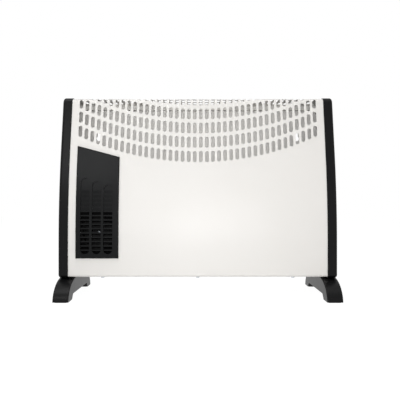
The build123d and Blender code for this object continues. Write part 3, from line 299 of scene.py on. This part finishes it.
# %% [markdown]
# ## The metals inside
#
# Zinc plate is bright and faintly blue, with a fine drawn grain. The tray round the elements is
# steel dipped in aluminium: it keeps its pale grey face when hot, and its crystals show as a
# spangle several millimetres across. Terminal screws are brass. The resistance wire is a nickel
# alloy that has gone dull brown-grey with heat.

# %% Metals
zinc_plate = surface(
    "zinc_plated_steel", tones=("#CDD1D6", "#B4B9C1"), drift_mm=6, roughness=(0.24, 0.36),
    grain_mm=(0.4, 0.4, 3), grain_depth_mm=0.008, Metallic=1.0,
)
aluminised_steel = surface(
    "aluminised_steel", tones=("#BFBEBA", "#A3A29E"), drift_mm=7, roughness=(0.34, 0.5),
    grain_mm=(18, 1.2, 1.2), grain_depth_mm=0.01, Metallic=1.0,
)
bright_brass = surface(
    "bright_brass", tones=("#DDB866", "#C69D4A"), drift_mm=4, roughness=(0.24, 0.34),
    grain_mm=0.6, grain_depth_mm=0.006, Metallic=1.0,
)
oxidised_nichrome = surface(
    "oxidised_nichrome", tones=("#7A726A", "#4E463F"), drift_mm=(9, 3, 3), roughness=(0.36, 0.52),
    grain_mm=0.5, grain_depth_mm=0.01, Metallic=1.0,
)
print("metals", zinc_plate.name, aluminised_steel.name, bright_brass.name, oxidised_nichrome.name)

# %% [markdown]
# ## Ceramic, mica, laminations and tape
#
# Steatite bushes are fired without a glaze, so they are cream and quite matt. Mica splits into
# sheets and shows flakes of unlike tone, which the drift draws a few millimetres across and very
# thin from face to face. The motor's core is a stack of half-millimetre steel sheets, and its
# coil is wrapped in yellow polyester tape: both are layers, so their grain is very short along
# one axis and long along the others.

# %% Insulators and the motor
LAMINATION = 1.0
steatite = surface(
    "steatite", tones=("#ECE6D8", "#DDD5C3"), drift_mm=6, roughness=(0.55, 0.7),
    grain_mm=0.5, grain_depth_mm=0.02, IOR=1.58,
)
mica_sheet = surface(
    "mica_sheet", tones=("#B8986A", "#8A6D44"), drift_mm=(0.6, 4, 4), roughness=(0.22, 0.42),
    grain_mm=(0.5, 3, 3), grain_depth_mm=0.02, IOR=1.58,
)
core_laminations = surface(
    "core_laminations", tones=("#5D5F63", "#3E4044"), drift_mm=(20, LAMINATION, 20),
    roughness=(0.4, 0.6), grain_mm=(30, LAMINATION, 30), grain_depth_mm=0.15, Metallic=0.6,
)
polyester_tape = surface(
    "polyester_tape", tones=("#DDBB40", "#C7A22C"), drift_mm=(3, 12, 12), roughness=(0.26, 0.38),
    grain_mm=(1.6, 20, 20), grain_depth_mm=0.06, IOR=1.57,
)
print("core lines every", LAMINATION, "mm, drawn twice as coarse as the real half millimetre")

# %% [markdown]
# ## Each piece gets its finish
#
# The model's record says which finish each piece takes, by the name of a slot. One table joins
# those slots to the materials above, and a loop puts them on, so no piece can be forgotten. The
# pieces themselves keep their shape and their place.

# %% Finishes on the model's pieces
finish_of_slot = {
    "white_enamel": powder_coat,
    "black_moulding": spark_abs,
    "black_grille": spark_polypropylene,
    "black_dial": satin_abs,
    "black_rocker": black_gloss_abs,
    "red_rocker": red_gloss_abs,
    "rubber_black": vulcanised_rubber,
    "zinc_steel": zinc_plate,
    "aluminised_steel": aluminised_steel,
    "resistance_wire": oxidised_nichrome,
    "ceramic": steatite,
    "mica": mica_sheet,
    "thermoset_brown": phenolic,
    "terminal_nylon": natural_nylon,
    "brass": bright_brass,
    "grey_housing": nylon_painted_shade,
    "core_steel": core_laminations,
    "winding_tape": polyester_tape,
}
for part in frame["record"]["subparts"]:
    mesh = nodes[part["node"]].data
    mesh.materials.clear()
    mesh.materials.append(finish_of_slot[part["material_slot"]])

# %% [markdown]
# ## From arrays to a piece
#
# Every new piece goes through one function: it takes an array of points and a list of faces,
# makes the mesh, welds points that coincide, turns the faces outwards and hands the piece to the
# body it moves with. Sharp and smooth edges are told apart by their angle.

# %% Piece helper
WELD = 0.002 * MM
SMOOTH_ANGLE = radians(40)


def new_piece(name, points, faces, material, body):
    """A finished piece from points and faces, which rides on a body and carries the given material."""
    mesh = bpy.data.meshes.new(name)
    mesh.from_pydata(np.asarray(points).tolist(), [], faces)
    work = bmesh.new()
    work.from_mesh(mesh)
    bmesh.ops.remove_doubles(work, verts=work.verts, dist=WELD)
    bmesh.ops.recalc_face_normals(work, faces=work.faces)
    work.to_mesh(mesh)
    work.free()
    mesh.polygons.foreach_set("use_smooth", np.ones(len(mesh.polygons), bool))
    mesh.set_sharp_from_angle(angle=SMOOTH_ANGLE)
    mesh.materials.append(material)
    piece = bpy.data.objects.new(name, mesh)
    bpy.context.scene.collection.objects.link(piece)
    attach(piece, body)
    print(name, len(mesh.vertices), "points", len(mesh.polygons), "faces")
    return piece


def joined(parts):
    """Several (points, faces) as one: each part's faces count on from the points before them."""
    counts = np.cumsum([0] + [len(points) for points, faces in parts])
    every_face = [
        [int(first) + corner for corner in face]
        for first, (points, faces) in zip(counts, parts)
        for face in faces
    ]
    return np.concatenate([points for points, faces in parts]), every_face


print("points closer than", WELD, "m are welded into one")

# %% [markdown]
# ## The heating coils
#
# A convector's element is a spring of resistance wire, strung to and fro through ceramic bushes.
# The construction model holds each as a plain rod of the coil's outer size. A helix could be a
# bevelled curve, but a curve has no say in how its turns meet the bends. Here the centre line is
# a function of the distance along it: straight runs joined by half circles. The wire's own line
# winds round that, and a small square section winds round the wire. Five hundred turns need a
# light section, so it has four sides, which its smooth shading rounds off.

# %% Centre line of a coil
def to_and_fro(distance, left, right, first_z, pitch, y, runs):
    """Centre line from the right end: runs along X joined by half circles of radius pitch / 2.

    Returns the points at each distance, and the directions of travel there as unit vectors.
    """
    run, bend = right - left, pi * pitch / 2
    number = np.clip(distance // (run + bend), 0, runs - 1)
    along = distance - number * (run + bend)
    way = np.where(number % 2 == 0, -1.0, 1.0)
    straight = np.minimum(along, run)
    turned = np.maximum(along - run, 0) / (pitch / 2)
    start_x = np.where(way < 0, right, left)
    x = start_x + way * (straight + np.sin(turned) * pitch / 2)
    z = first_z + number * pitch + (1 - np.cos(turned)) * pitch / 2
    heading = np.stack([way * np.cos(turned), np.zeros_like(x), np.sin(turned)], axis=-1)
    return np.stack([x, np.full_like(x, y), z], axis=-1), heading


bend_middle = to_and_fro(np.array([0.2 + pi * 0.015 / 2]), 0, 0.2, 0, 0.03, 0, 2)[0][0]
print("two runs 200 mm long, 30 mm apart: the bend's middle is at", bend_middle.round(4).tolist())


# %% Faces of a tube
def tube_faces(rings, sides):
    """Quads from ring to ring of a tube, and one face over each end."""
    ring, side = np.meshgrid(np.arange(rings - 1), np.arange(sides), indexing="ij")
    after = (side + 1) % sides
    corners = [ring * sides + side, ring * sides + after]
    corners += [(ring + 1) * sides + after, (ring + 1) * sides + side]
    quads = np.stack(corners, axis=-1).reshape(-1, 4).tolist()
    last = (rings - 1) * sides
    return quads + [list(range(sides))[::-1], list(range(last, last + sides))]


def unit(vectors):
    """Each vector divided by its length."""
    return vectors / np.linalg.norm(vectors, axis=-1, keepdims=True)


print("a tube of 3 rings with 4 sides has", len(tube_faces(3, 4)), "faces")

# %% The two coils
WIRE_RADIUS = 0.45 * MM
TURN_PITCH = 2.4 * MM
STEPS_PER_TURN = 10
WIRE_SIDES = 4
coil_runs = {"high_heat_coil": 4, "low_heat_coil": 2}


def wound_coil(node, runs):
    """Helix of wire round a to-and-fro centre line that fills the node's own box.

    Round the centre line goes radius * (cos a, sin a) in the plane of Y and the side direction,
    with a growing by a full turn every TURN_PITCH; the section follows the wire's own direction.
    A coil of two runs has its only bend on the left, so its right end needs no room for one.
    """
    low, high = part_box(node)
    reach = (high.y - low.y) / 2
    pitch = (high.z - low.z - 2 * reach) / (runs - 1)
    bend_room = pitch / 2 + reach
    left = low.x + bend_room
    right = high.x - (bend_room if runs > 2 else 0)
    length = runs * (right - left) + (runs - 1) * pi * pitch / 2
    turns = int(length / TURN_PITCH)
    distance = np.linspace(0, length, turns * STEPS_PER_TURN + 1)
    centre, heading = to_and_fro(
        distance, left, right, low.z + reach, pitch, (low.y + high.y) / 2, runs
    )
    depth = np.array([0.0, 1.0, 0.0])
    side = np.cross(heading, depth)
    angle = (2 * pi * turns * distance / length)[:, None]
    outward = np.cos(angle) * depth + np.sin(angle) * side
    wire = centre + (reach - WIRE_RADIUS) * outward
    forward = unit(np.gradient(wire, axis=0))
    across = unit(np.cross(forward, outward))
    outward = np.cross(across, forward)
    section = (np.arange(WIRE_SIDES) * 2 * pi / WIRE_SIDES)[:, None]
    rings = wire[:, None] + WIRE_RADIUS * (
        np.cos(section) * outward[:, None] + np.sin(section) * across[:, None]
    )
    print(node, turns, "turns on", round(length, 3), "m")
    return rings.reshape(-1, 3), tube_faces(len(wire), WIRE_SIDES)


for node, runs in coil_runs.items():
    points, faces = wound_coil(node, runs)
    coil = new_piece(f"wound_{node}", points, faces, oxidised_nichrome, "casing")
    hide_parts(node)

# %% [markdown]
# ## Printing on the controls
#
# The recess round the dial carries a printed scale, and each rocker carries the two marks that
# every mains switch has. On the real heater this is pad-printed ink, a film a few hundredths of
# a millimetre thick. It could be a pattern in the plastic's material, but a separate thin solid
# keeps its sharp edge at any distance and stays with its piece when the dial or a rocker moves.
# Plain numbers come from Blender's own font, turned into a mesh first.

# %% Ink
INK = 0.06 * MM
print_ink = surface(
    "pad_print_ink", tones=("#EDEDEA", "#E4E4E0"), drift_mm=3, roughness=(0.45, 0.6),
    grain_mm=0.3, grain_depth_mm=0.004, IOR=1.5,
)
print("ink is", INK, "m thick")


# %% Flat shapes: outlines and ticks
def prism(outline, thickness):
    """A flat outline in U and V, raised from W = 0 to thickness, with its sides and both caps."""
    count = len(outline)
    floor = np.column_stack([outline, np.zeros(count)])
    points = np.concatenate([floor, floor + (0, 0, thickness)])
    sides = [[i, (i + 1) % count, count + (i + 1) % count, count + i] for i in range(count)]
    return points, sides + [list(range(count))[::-1], list(range(count, 2 * count))]


def bar(angle, inner, outer, width):
    """A straight radial tick: from inner to outer radius, angle clockwise from +V."""
    out = np.array([np.sin(angle), np.cos(angle)])
    side = np.array([out[1], -out[0]]) * width / 2
    corners = [out * inner - side, out * inner + side, out * outer + side, out * outer - side]
    return prism(np.array(corners), INK)


print("a tick has", len(bar(0, 0, MM, MM)[0]), "points")

# %% Flat shapes: rings
RING_STEPS = 40


def loop_faces(steps, shells):
    """Quads between closed loops of points, each loop with the next and the last with the first."""
    step, shell = np.meshgrid(np.arange(steps), np.arange(shells), indexing="ij")
    following, above = (step + 1) % steps, (shell + 1) % shells
    corners = [shell * steps + step, shell * steps + following]
    corners += [above * steps + following, above * steps + step]
    return np.stack(corners, axis=-1).reshape(-1, 4).tolist()


def ring(centre, outer, width, steps=RING_STEPS):
    """A flat ring in U and V: quads between two circles, below, above and round both edges."""
    angle = np.arange(steps) * 2 * pi / steps
    circle = np.column_stack([np.cos(angle), np.sin(angle)])
    shells = [
        np.column_stack([np.array(centre) + radius * circle, np.full(steps, height)])
        for radius, height in ((outer, 0), (outer, INK), (outer - width, INK), (outer - width, 0))
    ]
    return np.concatenate(shells), loop_faces(steps, len(shells))


print("a ring has", len(ring((0, 0), MM, MM / 2)[1]), "faces")

# %% Numbers, and putting shapes in place
FONT_CAP_SHARE = 0.7
FONT_STEPS = 3


def numeral(text, height, centre):
    """A number from the built-in font as a thin solid, centred on a point in U and V.

    The font's figures are FONT_CAP_SHARE of its size tall.
    """
    curve = bpy.data.curves.new("numeral", "FONT")
    curve.body = text
    curve.size = height / FONT_CAP_SHARE
    curve.extrude = INK / 2
    curve.resolution_u = FONT_STEPS
    curve.align_x, curve.align_y = "CENTER", "CENTER"
    holder = bpy.data.objects.new("numeral", curve)
    bpy.context.scene.collection.objects.link(holder)
    graph = bpy.context.evaluated_depsgraph_get()
    mesh = bpy.data.meshes.new_from_object(holder.evaluated_get(graph))
    points = np.zeros(len(mesh.vertices) * 3)
    mesh.vertices.foreach_get("co", points)
    points = points.reshape(-1, 3)
    points -= (points.max(axis=0) + points.min(axis=0)) / 2
    faces = [list(polygon.vertices) for polygon in mesh.polygons]
    bpy.data.objects.remove(holder)
    bpy.data.meshes.remove(mesh)
    return points + (*centre, INK / 2), faces


def printed(name, parts, origin, across, up, body):
    """Ink shapes moved from U, V and W onto a surface: W points along across x up."""
    points, faces = joined(parts)
    axes = np.array([across, up, np.cross(across, up)])
    return new_piece(name, np.array(origin) + points @ axes, faces, print_ink, body)


print("numbers are drawn at size", round(1 / FONT_CAP_SHARE, 2), "times their height")

# %% [markdown]
# ## The dial's scale
#
# The dial turns 270 degrees from off, with its mark at the top, clockwise to full heat. Ticks
# stand every 15 degrees, longer ones every 45, and the numbers 0 to 6 go with the longer ones.
# The scale is laid out in polar form: a place is a radius and an angle clockwise from the top.

# %% Scale round the dial
knob_low, knob_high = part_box("thermostat_knob")
knob_radius = (knob_high.z - knob_low.z) / 2
recess_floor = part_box("thermostat_nut")[0].x
dial_origin = (recess_floor, (knob_low.y + knob_high.y) / 2, (knob_low.z + knob_high.z) / 2)
DIAL_TRAVEL = 270
MINOR_STEP, MAJOR_STEP = 15, 45
TICK_GAP = 0.5 * MM
MINOR_TICK, MAJOR_TICK = 1.0 * MM, 1.7 * MM
TICK_WIDTH = 0.3 * MM
NUMBER_HEIGHT = 2.0 * MM
NUMBER_RADIUS = knob_radius + 3.6 * MM

scale_parts = []
for degrees in range(0, DIAL_TRAVEL + 1, MINOR_STEP):
    major = degrees % MAJOR_STEP == 0
    start = knob_radius + TICK_GAP
    tick = MAJOR_TICK if major else MINOR_TICK
    scale_parts.append(bar(radians(degrees), start, start + tick, TICK_WIDTH))
    if major:
        place = NUMBER_RADIUS * np.array([np.sin(radians(degrees)), np.cos(radians(degrees))])
        scale_parts.append(numeral(str(degrees // MAJOR_STEP), NUMBER_HEIGHT, place))
printed("dial_scale", scale_parts, dial_origin, (0, 1, 0), (0, 0, 1), "casing")

# %% [markdown]
# ## The dial's mark
#
# The groove in the dial's face is filled with white paint that stops short of the rim of the
# groove. It is a thin plate with two straight sides and two half circles, and rides on the dial.

# %% Paint in the dial's groove
GROOVE_DEPTH, GROOVE_WIDTH, GROOVE_LENGTH, GROOVE_RIM = 0.8 * MM, 2 * MM, 12 * MM, 2.5 * MM
PAINT_GAP = 0.1 * MM
PAINT_DEPTH = 0.4 * MM
CAP_STEPS = 12


def stadium(length, width):
    """Outline of a slot along V: two half circles whose centres lie length - width apart."""
    angle = np.linspace(0, pi, CAP_STEPS)
    top = np.column_stack([np.cos(angle), np.sin(angle)]) * width / 2
    top += (0, (length - width) / 2)
    return np.concatenate([top, -top])


groove_middle = knob_high.z - GROOVE_RIM - GROOVE_LENGTH / 2
paint_outline = stadium(GROOVE_LENGTH - 2 * PAINT_GAP, GROOVE_WIDTH - 2 * PAINT_GAP)
points, faces = prism(paint_outline, PAINT_DEPTH)
paint_floor = np.array([knob_high.x - GROOVE_DEPTH, dial_origin[1], groove_middle])
placed = paint_floor + points @ np.array([(0, 1, 0), (0, 0, 1), (1, 0, 0)])
new_piece("dial_mark", placed, faces, print_ink, "dial")

# %% [markdown]
# ## A seal in front of the blower
#
# Between the blower's round inlet and the grille's square field of slots lies a sheet of soft
# black foam with a hole in it, so that air can't slip past the wheel. Its black is also painted
# shade: the sheet covers the pale inside of the casing at the corners of the slots, where shade
# would make it dark. Its outline is a rectangle drawn with as many points as the hole, each on
# the ray from the middle through its partner, so that quads join the two: along the angle a the
# rectangle lies at the smaller of width / |cos a| and height / |sin a|.

# %% Foam seal
SEAL_THICKNESS = 2.4 * MM
SEAL_HALF_WIDTH, SEAL_HALF_HEIGHT = 35 * MM, 45 * MM
SEAL_HOLE = 31 * MM
SEAL_STEPS = 96
# the black of this foam is partly painted shade over the pale inside at the slot corners
seal_foam_painted_shade = surface(
    "closed_cell_foam_painted_shade", tones=("#0B0B0C", "#080809"), drift_mm=8, roughness=(0.85, 0.95),
    grain_mm=0.5, grain_depth_mm=0.05, Specular_IOR_Level=0.1,
)


def holed_plate(half_width, half_height, hole, thickness, steps):
    """A rectangle with a round hole in U and V: quads on both faces, the rim and the hole."""
    angle = np.arange(steps) * 2 * pi / steps
    ray = np.column_stack([np.cos(angle), np.sin(angle)])
    reach = 1 / np.maximum(np.abs(ray[:, 0]) / half_width, np.abs(ray[:, 1]) / half_height)
    rim = reach[:, None]
    shells = [
        np.column_stack([radius * ray, np.full(steps, height)])
        for radius, height in ((rim, 0), (rim, thickness), (hole, thickness), (hole, 0))
    ]
    return np.concatenate(shells), loop_faces(steps, len(shells))


housing_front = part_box("fan_housing")[0].y
eye = pivots["fan_spin"]
points, faces = holed_plate(
    SEAL_HALF_WIDTH, SEAL_HALF_HEIGHT, SEAL_HOLE, SEAL_THICKNESS, SEAL_STEPS
)
seal_axes = np.array([(1, 0, 0), (0, 0, 1), (0, -1, 0)])
placed = np.array([eye[0], housing_front, eye[2]]) + points @ seal_axes
new_piece("blower_seal_painted_shade", placed, faces, seal_foam_painted_shade, "casing")

# %% [markdown]
# ## Marks on the switches
#
# A rocker's face is two flats that meet in a shallow valley over its pivot. The ring for off and
# the stroke for on lie on those flats, so each has its own tilt: at rest the rocker is tipped
# towards off, one flat is level with the heater's side and the other stands up by twice the
# tilt. Each mark is placed by the pivot, the tilt and its distance from the valley.

# %% Off and on marks
TILT = radians(12)
VALLEY_RISE = 2.5 * MM
MARK_FROM_VALLEY = 4.2 * MM
MARK_HEIGHT = 3.4 * MM
STROKE = 0.5 * MM


def rocker_mark(body, pivot, side, shape):
    """A mark on one flat of a rocker, side -1 for off or 1 for on.

    Seen from above, the valley lies VALLEY_RISE from the pivot along the rocker's own axis,
    which is turned by -TILT, and the flat is turned from +Y by TILT + side * TILT.
    """
    axis = np.array([np.cos(TILT), -np.sin(TILT), 0])
    turned = TILT + side * TILT
    flat = np.array([np.sin(turned), np.cos(turned), 0])
    middle = np.array(pivot) + VALLEY_RISE * axis + side * MARK_FROM_VALLEY * flat
    name = f"{body}_{'on' if side > 0 else 'off'}_mark"
    return printed(name, [shape], middle, flat, (0, 0, 1), body)


square = np.array([(-1, -1), (1, -1), (1, 1), (-1, 1)])
stroke = prism(square * (STROKE / 2, MARK_HEIGHT / 2), INK)
for switch in ("low_heat", "high_heat", "fan"):
    pivot = pivots[f"{switch}_switch"]
    rocker_mark(f"{switch}_rocker", pivot, 1, stroke)
    rocker_mark(f"{switch}_rocker", pivot, -1, ring((0, 0), MARK_HEIGHT / 2, STROKE))

# %% [markdown]
# ## Floor and background
#
# Product photographs on white are lit so that the paper burns out but the object does not. Here
# the world and the floor show themselves white to the camera, and to mirror-like rays, through
# the Light Path node, and give only a plain soft light to everything else. The floor mixes a
# share of that white with an ordinary matt surface, so the heater still stands on its shadow.

# %% Rays that see white
def seen_directly(owner):
    """One for camera, mirror and glass rays, and zero for the rays that carry light."""
    path = add_node(owner, "ShaderNodeLightPath")
    mirror = add_node(
        owner,
        "ShaderNodeMath",
        {"operation": "MAXIMUM"},
        {0: path.outputs["Is Glossy Ray"], 1: path.outputs["Is Transmission Ray"]},
    )
    either = add_node(
        owner,
        "ShaderNodeMath",
        {"operation": "MAXIMUM"},
        {0: path.outputs["Is Camera Ray"], 1: mirror.outputs[0]},
    )
    return either.outputs[0]


print("white for camera, mirror and glass rays")

# %% World
WORLD_LIGHT = 0.13
world = bpy.data.worlds.new("studio")
world.use_nodes = True
bpy.context.scene.world = world
world.node_tree.nodes.clear()
soft = add_node(
    world, "ShaderNodeBackground", {"Color": linear("#FFFFFF"), "Strength": WORLD_LIGHT}
)
white = add_node(world, "ShaderNodeBackground", {"Color": linear("#FFFFFF"), "Strength": 1.0})
world_mix = add_node(
    world,
    "ShaderNodeMixShader",
    {},
    {0: seen_directly(world), 1: soft.outputs[0], 2: white.outputs[0]},
)
add_node(world, "ShaderNodeOutputWorld", {}, {"Surface": world_mix.outputs[0]})
print("world light", WORLD_LIGHT)

# %% Floor
FLOOR_SIZE = 6.0
FLOOR_WHITE_SHARE = 0.85
FLOOR_GLOW = 1.15
paper = bpy.data.materials.new("matt_paper")
paper.use_nodes = True
paper.node_tree.nodes.clear()
matt = add_node(paper, "ShaderNodeBsdfDiffuse", {"Color": linear("#F2F2F2")})
glow = add_node(paper, "ShaderNodeEmission", {"Color": linear("#FFFFFF"), "Strength": FLOOR_GLOW})
share = add_node(
    paper,
    "ShaderNodeMath",
    {"operation": "MULTIPLY", 1: FLOOR_WHITE_SHARE},
    {0: seen_directly(paper)},
)
paper_mix = add_node(
    paper, "ShaderNodeMixShader", {}, {0: share.outputs[0], 1: matt.outputs[0], 2: glow.outputs[0]}
)
add_node(paper, "ShaderNodeOutputMaterial", {}, {"Surface": paper_mix.outputs[0]})

half = FLOOR_SIZE / 2
floor_mesh = bpy.data.meshes.new("floor")
floor_corners = [(-half, -half, 0), (half, -half, 0), (half, half, 0), (-half, half, 0)]
floor_mesh.from_pydata(floor_corners, [], [(0, 1, 2, 3)])
floor_mesh.materials.append(paper)
floor = bpy.data.objects.new("floor", floor_mesh)
bpy.context.scene.collection.objects.link(floor)
print("floor", FLOOR_SIZE, "m square")

# %% [markdown]
# ## Lamps
#
# In the photograph the inside of the back panel is bright wherever the outlet slots show it. Only
# light that comes from beside the lens reaches it there, so one lamp is a small ring at the
# camera. A soft box above and to the left gives the grille its short shadow to the right and
# the fading sheen down its face. A broad one overhead lifts the surfaces that lean back, and a
# weak warm one keeps the right-hand end from going dull. Their powers are set so that a painted
# surface renders near its own colour.

# %% Soft boxes
HEATER_MIDDLE = Vector((0, 0, 0.2))
soft_boxes = {
    "lens_ring": {"place": (0, -1.06, 0.195), "size": 0.03, "power": 3.2, "colour": "#FFFFFF"},
    "key_box": {"place": (-0.42, -1.1, 0.72), "size": 0.35, "power": 2.0, "colour": "#FFFFFF"},
    "top_box": {"place": (-0.2, -0.5, 2.2), "size": 1.4, "power": 22, "colour": "#FFFFFF"},
    "side_box": {"place": (1.7, -1.3, 0.6), "size": 1.0, "power": 2, "colour": "#FFEFD8"},
}
for name, box in soft_boxes.items():
    lamp_data = bpy.data.lights.new(name, "AREA")
    lamp_data.shape = "SQUARE"
    lamp_data.size = box["size"]
    lamp_data.energy = box["power"]
    lamp_data.color = linear(box["colour"])[:3]
    lamp = bpy.data.objects.new(name, lamp_data)
    lamp.location = box["place"]
    lamp.rotation_euler = (HEATER_MIDDLE - lamp.location).to_track_quat("-Z", "Y").to_euler()
    bpy.context.scene.collection.objects.link(lamp)
print("lamps", sorted(soft_boxes))
